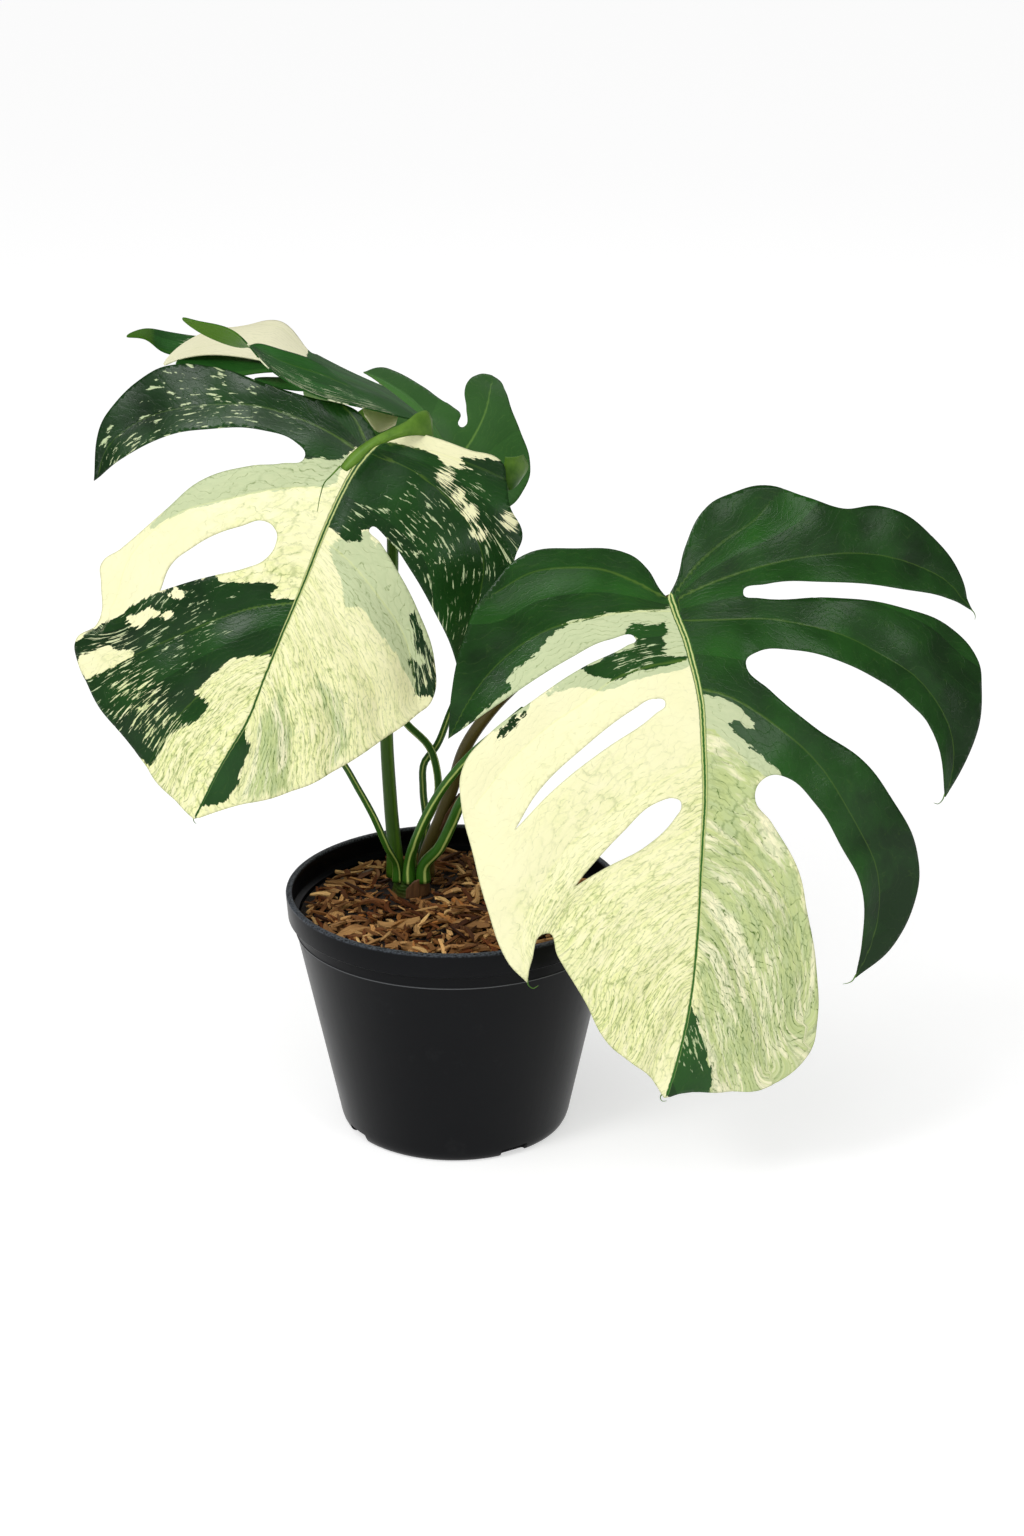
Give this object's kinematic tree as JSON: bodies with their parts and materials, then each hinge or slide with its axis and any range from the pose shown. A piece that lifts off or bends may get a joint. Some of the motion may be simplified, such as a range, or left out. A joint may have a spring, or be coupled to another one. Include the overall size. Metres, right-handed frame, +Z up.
{
  "type": "potted monstera plant",
  "caption": "Variegated split-leaf houseplant: cream and dark green blades on arching stalks, rooted in a tapered black nursery pot topped with bark chips.",
  "frame": {"origin": "centre of the flat pad under the pot, on the surface that the pot stands on", "axes": "+Z up; the showy side of the leaves faces -Y and +X is to its right"},
  "size_m": [0.5471, 0.3355, 0.5072],
  "materials": {
    "pot_plastic": "black moulded polypropylene, satin with light scuffs",
    "potting_mix": "damp coir and fine bark, rough",
    "bark": "dry split bark and coir chips, matt",
    "twig_wood": "dry dark twig",
    "stem": "olive green stem, slightly rough",
    "dry_sheath": "dry papery brown sheath",
    "petiole": "smooth green stalk with pale stripes",
    "variegated_leaf": "waxy leaf, cream and dark green sectors",
    "dark_leaf": "waxy dark green leaf with pale flecks and a cream lobe",
    "green_leaf": "matt mid green leaf with paler veins"
  },
  "bodies": {
    "root": {"pot": "pot_plastic", "potting_mix": "potting_mix", "stem": "stem", "stem_sheath": "dry_sheath", "cataphyll": "dry_sheath", "twig": "twig_wood", "right_blade": "variegated_leaf", "left_blade": "variegated_leaf", "top_blade": "dark_leaf", "back_blade": "green_leaf", "right_petiole": "petiole", "left_petiole": "petiole", "top_petiole": "petiole", "back_petiole": "petiole", "left_side_petiole": "petiole", "front_petiole": "petiole", "right_side_petiole": "petiole", "bark_chip_01": "bark", "bark_chip_02": "bark", "bark_chip_03": "bark", "bark_chip_04": "bark", "bark_chip_05": "bark", "bark_chip_06": "bark", "bark_chip_07": "bark", "bark_chip_08": "bark", "bark_chip_09": "bark", "bark_chip_10": "bark", "bark_chip_11": "bark", "bark_chip_12": "bark", "bark_chip_13": "bark", "bark_chip_14": "bark"}
  },
  "joints": []
}
